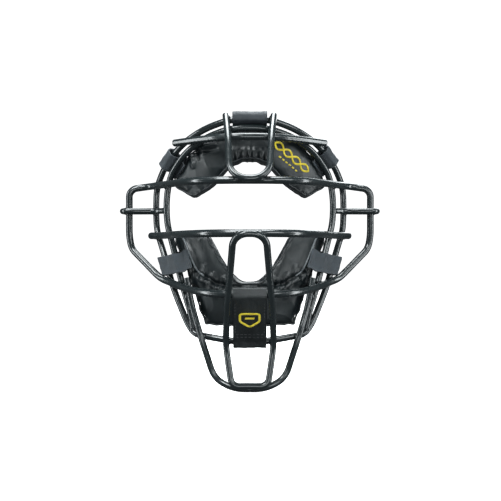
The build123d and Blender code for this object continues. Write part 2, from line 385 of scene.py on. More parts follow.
def leather_material(name, tone, grain, gloss, depth=0.35, spread=0.12):
    """Leather: cells of grain with creases between them, fine pores and uneven sheen."""
    material, tree, shader = new_material(name)
    where = coordinates(tree)
    warp = add_node(tree, "ShaderNodeTexNoise", Scale=90.0, Detail=3.0)
    patches = add_node(tree, "ShaderNodeTexNoise", Scale=26.0, Detail=5.0, Roughness=0.65)
    cells = add_node(tree, "ShaderNodeTexVoronoi", Scale=grain, feature="DISTANCE_TO_EDGE")
    pores = add_node(tree, "ShaderNodeTexNoise", Scale=grain * 3.1, Detail=3.0)
    shift = add_node(tree, "ShaderNodeVectorMath", operation="MULTIPLY_ADD")
    shift.inputs[1].default_value = (0.0022, 0.0022, 0.0022)
    tree.links.new(where, warp.inputs["Vector"])
    tree.links.new(warp.outputs["Color"], shift.inputs[0])
    tree.links.new(where, shift.inputs[2])
    tree.links.new(shift.outputs["Vector"], cells.inputs["Vector"])
    for node in (patches, pores):
        tree.links.new(where, node.inputs["Vector"])
    two_colours(tree, shader, ramp(tree, patches.outputs["Fac"], 0, 1), shade(tone, 0.72),
                shade(tone, 1.55))
    tree.links.new(
        ramp(tree, patches.outputs["Fac"], gloss, gloss + spread), shader.inputs["Roughness"]
    )
    creases = ramp(tree, cells.outputs["Distance"], 0, 1, 0.0, 0.22)
    under = bump(tree, shader, pores.outputs["Fac"], 0.16, 0.2 * MM)
    bump(tree, shader, creases, depth, 0.22 * MM, under)
    set_inputs(shader, Specular_IOR_Level=0.5, Coat_Weight=0.05, Coat_Roughness=0.36)
    return material


def cloth_material(name, tone, thread_size, depth=0.5):
    """Plain weave that follows the band, with a matt coating rubbed a little at the surface."""
    material, tree, shader = new_material(name)
    bands = []
    for turn in (0.0, pi / 2):
        where = coordinates(tree, turn=(0, 0, turn), kind="UV")
        wave = add_node(tree, "ShaderNodeTexWave", Scale=0.31 / thread_size, Distortion=0.6)
        wave.inputs["Detail"].default_value = 1.0
        tree.links.new(where, wave.inputs["Vector"])
        bands.append(wave.outputs["Fac"])
    weave = add_node(tree, "ShaderNodeMath", operation="MAXIMUM")
    tree.links.new(bands[0], weave.inputs[0])
    tree.links.new(bands[1], weave.inputs[1])
    where = coordinates(tree)
    rub = add_node(tree, "ShaderNodeTexNoise", Scale=120.0, Detail=6.0, Roughness=0.7)
    fuzz = add_node(tree, "ShaderNodeTexNoise", Scale=2600.0, Detail=2.0)
    tree.links.new(where, rub.inputs["Vector"])
    tree.links.new(where, fuzz.inputs["Vector"])
    two_colours(tree, shader, ramp(tree, rub.outputs["Fac"], 0, 1), shade(tone, 0.7),
                shade(tone, 1.3))
    tree.links.new(ramp(tree, rub.outputs["Fac"], 0.62, 0.85), shader.inputs["Roughness"])
    under = bump(tree, shader, fuzz.outputs["Fac"], 0.25, 0.15 * MM)
    bump(tree, shader, weave.outputs["Value"], depth, 0.3 * MM, under)
    set_inputs(shader, Sheen_Weight=0.12, Sheen_Roughness=0.5)
    return material


def fuzzy_material(name, tone, grain, rough):
    """Brushed cloth or pile: a coarse speckle of short fibres."""
    material, tree, shader = new_material(name)
    where = coordinates(tree)
    fibres = add_node(tree, "ShaderNodeTexVoronoi", Scale=grain)
    patches = add_node(tree, "ShaderNodeTexNoise", Scale=60.0, Detail=6.0, Roughness=0.7)
    for node in (fibres, patches):
        tree.links.new(where, node.inputs["Vector"])
    two_colours(tree, shader, patches.outputs["Fac"], shade(tone, 0.6), shade(tone, 1.6))
    tree.links.new(ramp(tree, patches.outputs["Fac"], rough, rough + 0.12),
                   shader.inputs["Roughness"])
    bump(tree, shader, fibres.outputs["Distance"], 0.7, 0.4 * MM)
    set_inputs(shader, Sheen_Weight=0.25, Sheen_Roughness=0.6)
    return material


def thread_material(name, tone, rough=0.5):
    """Twisted thread with the shine of its plies."""
    material, tree, shader = new_material(name)
    where = coordinates(tree, turn=(0, 0.6, 0.4))
    plies = add_node(tree, "ShaderNodeTexWave", Scale=620.0, Distortion=1.5)
    wear = add_node(tree, "ShaderNodeTexNoise", Scale=300.0, Detail=3.0)
    tree.links.new(where, plies.inputs["Vector"])
    tree.links.new(where, wear.inputs["Vector"])
    two_colours(tree, shader, wear.outputs["Fac"], shade(tone, 0.72), shade(tone, 1.15))
    tree.links.new(ramp(tree, wear.outputs["Fac"], rough - 0.1, rough + 0.1),
                   shader.inputs["Roughness"])
    bump(tree, shader, plies.outputs["Fac"], 0.5, 0.2 * MM)
    set_inputs(shader, Sheen_Weight=0.2)
    return material


def metal_material():
    """Blackened snap metal, rubbed brighter in patches."""
    material, tree, shader = new_material("black_metal")
    tone = tuple(colours().snap)
    where = coordinates(tree)
    wear = add_node(tree, "ShaderNodeTexNoise", Scale=260.0, Detail=5.0, Roughness=0.7)
    tree.links.new(where, wear.inputs["Vector"])
    two_colours(tree, shader, ramp(tree, wear.outputs["Fac"], 0, 1, 0.5, 0.75), tone,
                shade(tone, 6))
    tree.links.new(ramp(tree, wear.outputs["Fac"], 0.22, 0.42), shader.inputs["Roughness"])
    bump(tree, shader, wear.outputs["Fac"], 0.1, 0.1 * MM)
    set_inputs(shader, Metallic=0.85)
    return material


# ------------------------------------------------------------------ places
def strap_place(strap):
    """A strap's own frame, on the rod: X outwards, Y forwards and Z along the rod."""
    joint = next(j for j in frame["joints"] if j["name"] == strap + "_fold")
    along = Vector(joint["axis"]).normalized()
    forwards = along.cross(Vector((0, 0, 1))).normalized()
    if forwards.y > 0:
        forwards = -forwards
    outwards = forwards.cross(along)
    origin = Vector(joint["pos_m"]) - outwards * HINGE_OUT
    matrix = Matrix((outwards, forwards, along)).transposed().to_4x4()
    matrix.translation = origin
    return matrix


def local_box(node, place):
    """Lowest and highest corner of a CAD node in a strap's own frame."""
    back = place.inverted()
    points = [back @ vertex.co for vertex in NODES[node].data.vertices]
    low = Vector(min(point[axis] for point in points) for axis in range(3))
    high = Vector(max(point[axis] for point in points) for axis in range(3))
    return low, high


# ------------------------------------------------------------------ stitches
def stitch_row(name, spots):
    """Stitches at (point, direction along the row, direction out of the surface)."""
    made = []
    for point, along, out in spots:
        stitch = primitive(bpy.ops.mesh.primitive_uv_sphere_add, segments=8, ring_count=5, radius=1)
        side = out.cross(along).normalized()
        turn = Matrix((along.normalized(), side, out.normalized())).transposed().to_4x4()
        turn.translation = point
        thick = sizes().thread
        stretch = Matrix.Diagonal((sizes().stitch / 2, thick, thick, 1))
        place_mesh(stitch, turn @ stretch)
        made.append(stitch)
    row = join(made, name)
    smooth(row)
    return row


def row_spots(place, start, end, out):
    """Evenly spaced stitches along a straight line in a strap's own frame."""
    start, end = Vector(start), Vector(end)
    run = end - start
    count = max(2, round(run.length / sizes().stitch_gap))
    turn = place.to_3x3()
    return [
        (place @ (start + run * ((index + 0.5) / count)), turn @ run, turn @ Vector(out))
        for index in range(count)
    ]


# ------------------------------------------------------------------ straps
def measured_route(route):
    """Running lengths of a route's points."""
    run = [0.0]
    for before, after in zip(route, route[1:]):
        run.append(run[-1] + (Vector(after) - Vector(before)).length)
    return run


def set_band_map(obj, route):
    """UV map in metres: along the route and across the band."""
    runs = measured_route(route)
    corners = [Vector(point) for point in route]
    along = []
    for vertex in obj.data.vertices:
        spot = Vector((vertex.co.x, vertex.co.y))
        best = None
        for index in range(len(corners) - 1):
            step = corners[index + 1] - corners[index]
            share = min(1, max(0, (spot - corners[index]).dot(step) / step.length_squared))
            gap = (corners[index] + step * share - spot).length
            if best is None or gap < best[0]:
                best = (gap, runs[index] + share * step.length)
        along.append(best[1])
    layer = obj.data.uv_layers[0] if obj.data.uv_layers else obj.data.uv_layers.new(name="band")
    for loop in obj.data.loops:
        point = obj.data.vertices[loop.vertex_index].co
        layer.data[loop.index].uv = (along[loop.vertex_index], point.z)


def ends_at(places):
    """A test for edges that have both ends at some of these places on a band's route."""

    def test(one, other):
        return all(
            any((end.xy - place).length < 0.01 * MM for place in places) for end in (one, other)
        )

    return test


def flat_band(name, route, width, bend, shape):
    """A strip of strap material bent along a route in a strap's own frame, then thickened."""
    obj = primitive(bpy.ops.mesh.primitive_grid_add, x_subdivisions=1, y_subdivisions=10, size=1)
    obj.name = name
    first, second = Vector(route[0]), Vector(route[1])
    step = second - first
    lay = Matrix(((step.x, 0, 0, 0), (step.y, 0, 1, 0), (0, width, 0, 0), (0, 0, 0, 1)))
    lay.translation = ((first + second) / 2).to_3d()
    obj.data.transform(lay)
    obj.data.update()
    start_edit(obj)
    corners = [Vector(point) for point in route]
    for here, after in zip(corners[1:], corners[2:]):
        select_edges(obj, ends_at([here]))
        bpy.ops.mesh.extrude_region_move(TRANSFORM_OT_translate={"value": (*(after - here), 0)})
    # The edges that run from turn to turn are divided too, which makes the band finer across.
    select_edges(obj, ends_at(corners[1:-1]))
    bpy.ops.mesh.bevel(offset=bend, segments=4, affect="EDGES", clamp_overlap=True)
    bpy.ops.mesh.select_all(action="SELECT")
    bpy.ops.mesh.remove_doubles(threshold=0.01 * MM)
    end_edit()
    split_long_faces(obj, 3.2 * MM)
    set_band_map(obj, route)
    for vertex in obj.data.vertices:
        vertex.co += Vector(shape(vertex.co))
    modify(obj, "SOLIDIFY", thickness=sizes().leather, offset=0.0, use_even_offset=True)
    modify(obj, "BEVEL", width=0.35 * MM, segments=2, limit_method="ANGLE", angle_limit=radians(50))
    subdivide(obj, 1)
    outward(obj)
    smooth(obj, 60)
    return obj


def split_long_faces(obj, longest):
    """Divide the edges that run along a band until none is longer than this."""

    def too_long(one, other):
        return abs(one.z - other.z) < 0.01 * MM and (one - other).length > longest

    for _ in range(4):
        start_edit(obj)
        select_edges(obj, too_long)
        end_edit()
        if not any(edge.select for edge in obj.data.edges):
            return
        bpy.ops.object.mode_set(mode="EDIT")
        bpy.ops.mesh.subdivide(number_cuts=1)
        end_edit()


def strap_route(strap, place):
    """Middle line of a strap, read off the plain solids that stand for it."""
    half = sizes().leather / 2
    leaf_low, leaf_high = local_box(strap + "_leaf", place)
    flap_low, _ = local_box(strap + "_flap", place)
    fold = leaf_high.x - half
    flap_wall = flap_low.x + half
    pad_face = leaf_low.y + half
    flap = [(fold, -5 * MM), (flap_wall, -7 * MM), (flap_wall, flap_low.y)]
    if strap == "chin_strap":
        bar = CHIN_BAR
        clear = 5.5 * MM
        leaf = [
            (leaf_low.x + 12.0 * MM, bar.y - clear - 13 * MM),
            (leaf_low.x + 3.2 * MM, bar.y - clear - 2 * MM),
            (bar.x - clear, bar.y + 2 * MM),
            (bar.x + 1.5 * MM, bar.y + clear + 1 * MM),
            (-1 * MM, 5.6 * MM),
        ]
        return leaf + [(fold, 3.5 * MM)] + flap
    over_hoop = leaf_high.y - half
    if strap.startswith("lower"):
        # These two lie over both hoops, with a dip between them, and fold loosely.
        inner = leaf_low.x + 15 * MM
        return [
            (leaf_low.x + 2 * MM, pad_face), (leaf_low.x + 9 * MM, pad_face), (inner, over_hoop),
            ((inner + fold) / 2 + 1 * MM, over_hoop - 2.2 * MM), (fold - 1.5 * MM, over_hoop),
            (fold + 3 * MM, 2.5 * MM), (fold + 3 * MM, -4 * MM), *flap[1:],
        ]
    # The others come up between the two hoops and wrap the outer one only.
    wall = flap_wall - 3.6 * MM
    gap = (wall - 4 * MM) / 2
    return [
        (wall - 9 * MM, -4.6 * MM), (gap - 0.6 * MM, -4.6 * MM), (gap, 1 * MM),
        (min(-2.6 * MM, gap + 3 * MM), over_hoop - 0.2 * MM), (fold - 1.5 * MM, over_hoop),
        (fold + 0.8 * MM, 2.5 * MM), (fold + 0.8 * MM, -4 * MM), *flap[1:],
    ]


def row_across(place, spot, slide, inset, out):
    """Stitches across a band at one place on its route."""
    ends = [(*spot, slide - inset), (*spot, slide + inset)]
    return row_spots(place, *ends, (*out, 0))


def strap_seams(strap, place, route, inset, lift, lean):
    """The stitches on the face of a strap's leaf."""
    if strap == "chin_strap":
        foot, head = Vector(route[4]), Vector(route[3])
        run = (foot - head).normalized()
        out = Vector((-run.y, run.x))

        def on_face(share):
            return head + (foot - head) * share + out * lift

        spots = []
        for share in (0.83, 0.89):
            spots += row_across(place, on_face(share), 0, inset, out)
        for side in (-inset, inset):
            ends = [(*on_face(share), side) for share in (0.12, 0.8)]
            spots += row_spots(place, *ends, (*out, 0))
        return spots
    if lean:
        start, end = Vector(route[0]), Vector(route[1])
        spot = start + (end - start) * 0.3 + Vector((0, lift))
        return row_across(place, spot, lean * (spot.x - HINGE_OUT), inset, (0, 1))
    return []


def make_strap(strap, material, thread):
    """One wrap strap: a band from the pad, over the rods, round the hoop and back behind it."""
    place = strap_place(strap)
    low, high = local_box(strap + "_flap", place)
    width = high.z - low.z
    route = strap_route(strap, place)
    seed = sum(map(ord, strap))
    lean = {"lower_left_tab": 0.31, "lower_right_tab": -0.31}.get(strap, 0.0)

    def soft_shape(co):
        """Cloth lifts a little at its edges, ripples, and runs level rather than square."""
        edge = (2 * co.z / width) ** 4
        ripple = sin(seed + co.x * 300 + co.z * 240) + 0.6 * sin(seed * 2 + co.z * 700)
        slide = lean * (co.x - HINGE_OUT) * min(1, max(0, (co.y + 9 * MM) / (8 * MM)))
        return (0.12 * MM * ripple, (0.3 * edge + 0.18 * ripple) * MM, slide)

    bend = 3.0 * MM if strap == "chin_strap" else 2.4 * MM
    band = flat_band(strap, route, width, bend, soft_shape)
    place_mesh(band, place)
    finish_piece(band, material, body=None, replaces=(strap + "_leaf", strap + "_flap"))
    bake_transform(band)

    lift = sizes().leather / 2 + 0.12 * MM
    inset = width / 2 - 2.2 * MM
    spots = strap_seams(strap, place, route, inset, lift, lean)
    if spots:
        finish_piece(stitch_row(strap + "_stitches", spots), thread)
    hem = (route[-1][0] + lift, low.y + 2.2 * MM)
    row = stitch_row(strap + "_hem_stitches", row_across(place, hem, 0, inset, (1, 0)))
    finish_piece(row, thread, body=strap + "_flap")


# ------------------------------------------------------------------ pads
def wrap_radius(points):
    """Distance of each point from the upright axis of the wrap."""
    return np.hypot(points[:, 0], points[:, 1] - sizes().wrap_axis)


def wrap_out(points):
    """Unit directions away from the wrap's axis."""
    out = points - np.array([0, sizes().wrap_axis, 0])
    out[:, 2] = 0
    return out / np.linalg.norm(out, axis=1)[:, None]


def seam_loop(cover, name, test):
    """The sharp edges of a plain pad that pass a test on their radius, as a wire."""
    obj = copy_node(cover, name)
    start_edit(obj)
    bpy.ops.mesh.edges_select_sharp(sharpness=radians(40))
    end_edit()
    points = read_points(obj.data)
    radius = wrap_radius(points)
    kept = [
        tuple(edge.vertices) for edge in obj.data.edges
        if edge.select and all(test(radius[index]) for index in edge.vertices)
    ]
    used = sorted({index for edge in kept for index in edge})
    number = {index: new for new, index in enumerate(used)}
    wire = bpy.data.meshes.new(name)
    wire.from_pydata([points[index] for index in used],
                     [(number[a], number[b]) for a, b in kept], [])
    obj.data = wire
    start_edit(obj)
    bpy.ops.mesh.select_all(action="SELECT")
    bpy.ops.mesh.subdivide(number_cuts=5)
    end_edit()
    return obj


def round_cord(wire, name, radius, resolution):
    """A wire made into a round cord with closed ends."""
    pick(wire)
    bpy.ops.object.convert(target="CURVE")
    cord = bpy.context.object
    cord.data.bevel_depth = radius
    cord.data.bevel_resolution = resolution
    cord.data.use_fill_caps = True
    bpy.ops.object.convert(target="MESH")
    cord = bpy.context.object
    cord.name = name
    return cord


def piping_along(wire, target, name, lift, material):
    """A round cord laid along a seam, half sunk in the pad."""
    modify(wire, "SMOOTH", factor=0.5, iterations=14)
    modify(wire, "SHRINKWRAP", target=target, offset=lift)
    modify(wire, "SMOOTH", factor=0.5, iterations=6)
    merge_close(wire, 0.8 * MM)
    cord = round_cord(wire, name, sizes().piping, 2)
    merge_close(cord, 0.001 * MM)
    outward(cord)
    smooth(cord)
    finish_piece(cord, material)


def on_front(skin, x, z):
    """The place on the front of a pad, and the direction out of it, seen straight from ahead."""
    hit, spot, normal, _ = skin.ray_cast(Vector((x, -0.15, z)), Vector((0, 1, 0)))
    if not hit:
        raise RuntimeError("a seam or a mark runs off its pad")
    return spot, normal


def point_along(points, runs, distance):
    """The point at a distance along a line, the piece that it is on and its share of it."""
    piece = max(i for i in range(len(points) - 1) if runs[i] <= distance)
    share = (distance - runs[piece]) / (runs[piece + 1] - runs[piece])
    return points[piece].lerp(points[piece + 1], share), piece, share


def welt_along(skin, name, lines, material):
    """Glossy cords sewn onto the front of a pad, along lines given in the front view; their light
    tone is a painted highlight.
    """
    bpy.context.view_layer.update()
    cords = []
    for line in lines:
        corners = [Vector(point) for point in line]
        runs = measured_route(line)
        count = int(runs[-1] / 2.0)
        places = []
        for index in range(count + 1):
            here = point_along(corners, runs, index / count * runs[-1])[0] * MM
            spot, normal = on_front(skin, *here)
            places.append(spot + normal * 0.3 * MM)
        mesh = bpy.data.meshes.new(name)
        mesh.from_pydata(places, [(i, i + 1) for i in range(count)], [])
        wire = bpy.data.objects.new(name, mesh)
        bpy.context.scene.collection.objects.link(wire)
        modify(wire, "SMOOTH", factor=0.5, iterations=3)
        cords.append(round_cord(wire, name, 0.85 * sizes().piping, 3))
    welt_painted_highlight = join(cords, name)
    merge_close(welt_painted_highlight)
    outward(welt_painted_highlight)
    smooth(welt_painted_highlight, 60)
    finish_piece(welt_painted_highlight, material)


def nearest_gaps(points, others):
    """How far each point is from the nearest of the others."""
    tree = KDTree(len(others))
    for index, point in enumerate(others):
        tree.insert(point, index)
    tree.balance()
    return np.array([tree.find(point)[2] for point in points])


def puff(skin, seams):
    """Blow the skin up as cloth, held down near its seams."""
    start = read_points(skin.data)
    pick(skin)
    bpy.ops.object.modifier_add(type="CLOTH")
    cloth = skin.modifiers[-1]
    cloth.settings.quality = 6
    cloth.settings.mass = 0.2
    cloth.settings.use_pressure = True
    cloth.settings.uniform_pressure_force = 4.0
    cloth.settings.tension_stiffness = 12
    cloth.settings.compression_stiffness = 12
    cloth.settings.bending_stiffness = 0.3
    cloth.settings.effector_weights.gravity = 0
    cloth.collision_settings.use_collision = False
    cloth.point_cache.frame_end = 20
    for number in range(1, 21):
        bpy.context.scene.frame_set(number)
    bpy.ops.object.modifier_apply(modifier=cloth.name)
    bpy.context.scene.frame_set(1)
    moved = read_points(skin.data) - start
    gap = nearest_gaps(start, seams)
    share = np.clip(gap / sizes().seam_reach, 0, 1)
    cap = (0.7 * MM + sizes().swell * np.sin(share * pi / 2))[:, None]
    size = np.linalg.norm(moved, axis=1)[:, None] + 1e-9
    write_points(skin.data, start + moved / size * np.minimum(size, cap))


def ridge(x, z, line, width, height):
    """A soft fold along a line in the front view, dying away at both ends."""
    (x1, z1), (x2, z2) = line
    run_x, run_z = x2 - x1, z2 - z1
    share = ((x - x1) * run_x + (z - z1) * run_z) / (run_x**2 + run_z**2)
    inside = np.clip(share, 0, 1)
    gap = np.hypot(x - x1 - inside * run_x, z - z1 - inside * run_z)
    taper = np.sqrt(np.clip(4 * inside * (1 - inside), 0, 1))
    return height * taper * np.exp(-((gap / width) ** 2))


def fold_skin(skin, folds, extra, scallop):
    """Push folds, creases and sewn channels into the front and edges of a pad's skin."""
    points, normals = read_points(skin.data), read_normals(skin.data)
    out = wrap_out(points)
    front = np.clip((np.sum(normals * out, axis=1) - 0.1) / 0.5, 0, 1)
    x, z = points[:, 0] / MM, points[:, 2] / MM
    lift = np.zeros(len(points))
    for line, width, height in folds:
        lift += ridge(x, z, line, width, height)
    lift += extra(x, z)
    points = points + out * (lift * front * MM)[:, None]
    points[:, 2] += scallop(x, z) * MM
    write_points(skin.data, points)


def keep_behind_hoops(skin):
    """The skin stays behind the hoops where they cross it."""
    hoops = [*read_points(NODES["outer_hoop"].data), *read_points(NODES["inner_hoop"].data)]
    points = read_points(skin.data)
    radius, out = wrap_radius(points), wrap_out(points)
    gap = nearest_gaps(points, hoops)
    near = np.clip(1 - (gap - 1 * MM) / (6 * MM), 0, 1)
    limit = sizes().rod_side + (1 - near) * 4 * MM
    write_points(skin.data, points - out * np.maximum(radius - limit, 0)[:, None])


def make_pad(pad, folds, extra, scallop, materials):
    """One pad: a puffed leather skin over foam, piping in its seams and a lining behind."""
    leather, piping, lining_cloth = materials
    front_seam = seam_loop(pad + "_cover", pad + "_front_piping", lambda r: r > 105.2 * MM)
    back_seam = seam_loop(pad + "_cover", pad + "_back_piping", lambda r: r < 81.8 * MM)
    seams = [*read_points(front_seam.data), *read_points(back_seam.data)]

    skin = copy_node(pad + "_foam", pad + "_skin")
    modify(skin, "REMESH", mode="VOXEL", voxel_size=sizes().voxel)
    modify(skin, "SMOOTH", factor=0.5, iterations=4)
    puff(skin, seams)
    subdivide(skin, 2)
    fold_skin(skin, folds, extra, scallop)
    creases = bpy.data.textures.new(pad + "_creases", "MUSGRAVE")
    creases.musgrave_type = "RIDGED_MULTIFRACTAL"
    creases.noise_scale = 17 * MM
    modify(skin, "DISPLACE", texture=creases, strength=0.34 * MM, mid_level=0.5,
           texture_coords="LOCAL")
    keep_behind_hoops(skin)
    outward(skin)
    smooth(skin)

    piping_along(front_seam, skin, pad + "_front_piping", 0.35 * MM, piping)
    piping_along(back_seam, skin, pad + "_back_piping", 0.3 * MM, piping)

    lining = bpy.data.objects.new(pad + "_back_lining", skin.data.copy())
    bpy.context.scene.collection.objects.link(lining)
    points, normals = read_points(lining.data), read_normals(lining.data)
    inwards = -np.sum(normals * wrap_out(points), axis=1)
    kept = (inwards > 0.75) & (wrap_radius(points) < 84.5 * MM)
    start_edit(lining, "VERT")
    end_edit()
    for vertex in lining.data.vertices:
        vertex.select = not kept[vertex.index]
    bpy.ops.object.mode_set(mode="EDIT")
    bpy.ops.mesh.delete(type="VERT")
    bpy.ops.mesh.select_all(action="SELECT")
    bpy.ops.mesh.delete_loose()
    end_edit()
    modify(lining, "SMOOTH", factor=0.5, iterations=3)
    modify(lining, "SOLIDIFY", thickness=sizes().lining, offset=0.6)
    smooth(lining, 50)
    finish_piece(lining, lining_cloth, replaces=(pad + "_lining",))
    finish_piece(skin, leather, replaces=(pad + "_cover", pad + "_foam"))
    return skin


# ------------------------------------------------------------------ embroidery
def satin_strip(points, outs, width, rise):
    """A raised run of satin stitches: slanting threads side by side along a line."""
    made = []
    runs = measured_route(points)
    count = max(2, int(runs[-1] / sizes().satin_gap))
    for index in range(count):
        spot, piece, share = point_along(points, runs, (index + 0.5) / count * runs[-1])
        out = outs[piece].lerp(outs[min(piece + 1, len(outs) - 1)], share).normalized()
        along = (points[piece + 1] - points[piece]).normalized()
        across = out.cross(along).normalized()
        lean = (across + along * 0.35).normalized()
        thread = primitive(bpy.ops.mesh.primitive_uv_sphere_add, segments=6, ring_count=6, radius=1)
        side = out.cross(lean).normalized()
        turn = Matrix((lean, side, out)).transposed().to_4x4()
        turn.translation = spot
        place_mesh(thread, turn @ Matrix.Diagonal((width / 2, 0.38 * MM, rise, 1)))
        made.append(thread)
    return made


def embroider(name, node, strips, material):
    """Join the satin runs of one emblem."""
    threads = [thread for strip in strips for thread in satin_strip(*strip)]
    emblem = join(threads, name)
    smooth(emblem)
    finish_piece(emblem, material, replaces=(node,))


def rounded(points, cuts=5):
    """A closed outline with its corners softened."""
    result = []
    count = len(points)
    for index, here in enumerate(points):
        before = here.lerp(points[index - 1], 0.22)
        after = here.lerp(points[(index + 1) % count], 0.22)
        for step in range(cuts + 1):
            share = step / cuts
            result.append(before.lerp(here, share).lerp(here.lerp(after, share), share))
    return [*result, result[0]]


# ------------------------------------------------------------------ operators
class MASK_OT_coat_cage(bpy.types.Operator):
    """Coat the rods of the cage"""

    bl_idname = "mask.coat_cage"
    bl_label = "Coat Cage"

    def execute(self, context):
        coating = coating_material()
        for rod in RODS:
            mesh = NODES[rod].data
            mesh.materials.clear()
            mesh.materials.append(coating)
            mesh.shade_smooth()
        return {"FINISHED"}


class MASK_OT_weld_beads(bpy.types.Operator):
    """Lay a rippled bead at every place where two rods meet"""

    bl_idname = "mask.weld_beads"
    bl_label = "Weld Beads"

    def execute(self, context):
        coating = bpy.data.materials["satin_coating"]
        lumps = bpy.data.textures.new("bead_lumps", "CLOUDS")
        lumps.noise_scale = 3 * MM
        for group in ("crown_welds", "side_welds", "ear_welds", "chin_welds"):
            plain = copy_node(group, group + "_plain")
            start_edit(plain)
            bpy.ops.mesh.separate(type="LOOSE")
            end_edit()
            balls = [plain] + [o for o in context.selected_objects if o != plain]
            beads = []
            for ball in balls:
                points = read_points(ball.data)
                centre = Vector((points.min(0) + points.max(0)) / 2)
                bead = primitive(bpy.ops.mesh.primitive_ico_sphere_add, subdivisions=3,
                                 radius=sizes().bead)
                bead.data.transform(Matrix.Translation(centre))
                beads.append(bead)
            for ball in balls:
                bpy.data.objects.remove(ball)
            weld = join(beads, group + "_beads")
            modify(weld, "DISPLACE", texture=lumps, strength=1.1 * MM, texture_coords="LOCAL")
            smooth(weld)
            finish_piece(weld, coating, replaces=(group,))
        return {"FINISHED"}


def end_cap(rim, body):
    """A low dome over the end of a rod, given the end's rim and the points of the rod."""
    middle = sum(rim, Vector()) / len(rim)
    radius = max((point - middle).length for point in rim)
    behind = [point for point in body if radius < (point - middle).length < 14 * MM]
    if not behind:
        far = [point for point in body if (point - middle).length > 2 * radius]
        behind = [min(far, key=lambda point: (point - middle).length)]
    one = (rim[0] - middle).normalized()
    two = next(
        point - middle for point in rim if abs((point - middle).normalized().dot(one)) < 0.8
    )
    facing = one.cross(two).normalized()
    if facing.dot(middle - sum(behind, Vector()) / len(behind)) < 0:
        facing = -facing
    cap = primitive(bpy.ops.mesh.primitive_uv_sphere_add, segments=24, ring_count=12, radius=1)
    turn = facing.to_track_quat("Z", "Y").to_matrix().to_4x4()
    turn.translation = middle
    place_mesh(cap, turn @ Matrix.Diagonal((radius, radius, radius * 0.42, 1)))
    return cap


class MASK_OT_rod_ends(bpy.types.Operator):
    """Round off the coated ends of the open rods"""

    bl_idname = "mask.rod_ends"
    bl_label = "Rod Ends"

    def execute(self, context):
        caps = []
        for rod in OPEN_RODS:
            plain = copy_node(rod, rod + "_plain")
            start_edit(plain)
            bpy.ops.mesh.edges_select_sharp(sharpness=radians(60))
            end_edit()
            rims = [
                Vector(plain.data.vertices[index].co)
                for edge in plain.data.edges if edge.select for index in edge.vertices
            ]
            body = [Vector(vertex.co) for vertex in plain.data.vertices]
            bpy.data.objects.remove(plain)
            while rims:
                near = [point for point in rims if (point - rims[0]).length < 8 * MM]
                rims = [point for point in rims if (point - rims[0]).length >= 8 * MM]
                caps.append(end_cap(near, body))
        ends = join(caps, "rod_ends")
        smooth(ends)
        finish_piece(ends, bpy.data.materials["satin_coating"])
        return {"FINISHED"}


def pad_materials():
    """Leather, piping and lining for the pads, made once."""
    tones = colours()
    known = bpy.data.materials
    if "soft_leather" not in known:
        leather_material("soft_leather", tuple(tones.leather), 1150.0, 0.32, 0.17)
        # The welt leather's light tone is a painted highlight along the jaw pad's folds.
        leather_material("welt_painted_highlight_leather", tuple(tones.welt_painted_highlight), 1700.0, 0.22, 0.12)
        leather_material("piping_leather", tuple(tones.piping), 1500.0, 0.24, 0.15)
        fuzzy_material("lining_cloth", tuple(tones.lining), 1500.0, 0.8)
    return known["soft_leather"], known["piping_leather"], known["lining_cloth"]


class MASK_OT_brow_pad(bpy.types.Operator):
    """Sew and fill the brow pad"""

    bl_idname = "mask.brow_pad"
    bl_label = "Brow Pad"

    def execute(self, context):
        folds = [
            (((-75, 102), (-60, 90)), 2.4, 2.8),
            (((-68, 105), (-56, 86)), 1.9, -2.6),
            (((-61, 107), (-55, 80)), 2.1, 2.8),
            (((-54, 108), (-50, 88)), 1.8, -2.4),
            (((-47, 109), (-45, 93)), 2.0, 2.0),
            (((-60, 100), (-30, 104)), 2.2, 2.6),
            (((-56, 96), (-30, 99)), 1.8, -1.7),
            (((-80, 84), (-60, 60)), 4.0, 1.8),
            (((-60, 58), (-36, 66)), 4.5, -1.6),
            (((-36, 66), (-18, 84)), 3.6, -1.4),
            (((36, 66), (18, 84)), 3.6, -1.4),
            (((58, 106), (64, 90)), 2.6, 1.8),
            (((68, 100), (70, 82)), 2.6, -1.6),
            (((78, 86), (62, 62)), 4.0, 1.6),
            (((-22, 96), (22, 96)), 3.2, 1.4),
        ]

        def gathers(x, z):
            """Leather drawn up along the middle of the lower edge."""
            middle = np.clip(1 - (np.abs(x) / 21) ** 4, 0, 1)
            edge = np.exp(-(((z - 85) / 8.0) ** 2))
            return 2.4 * middle * edge * np.cos(x * 1.15 + 0.8 * np.sin(x * 0.4))

        def scallop(x, z):
            """The gathered edge hangs in small uneven scallops."""
            middle = np.clip(1 - (np.abs(x) / 17) ** 4, 0, 1)
            edge = np.exp(-(((z - 84) / 5.0) ** 2))
            return middle * edge * (1.5 * np.cos(x * 0.92 + np.sin(x * 0.35)) - 1.2)

        make_pad("brow_pad", folds, gathers, scallop, pad_materials())
        return {"FINISHED"}


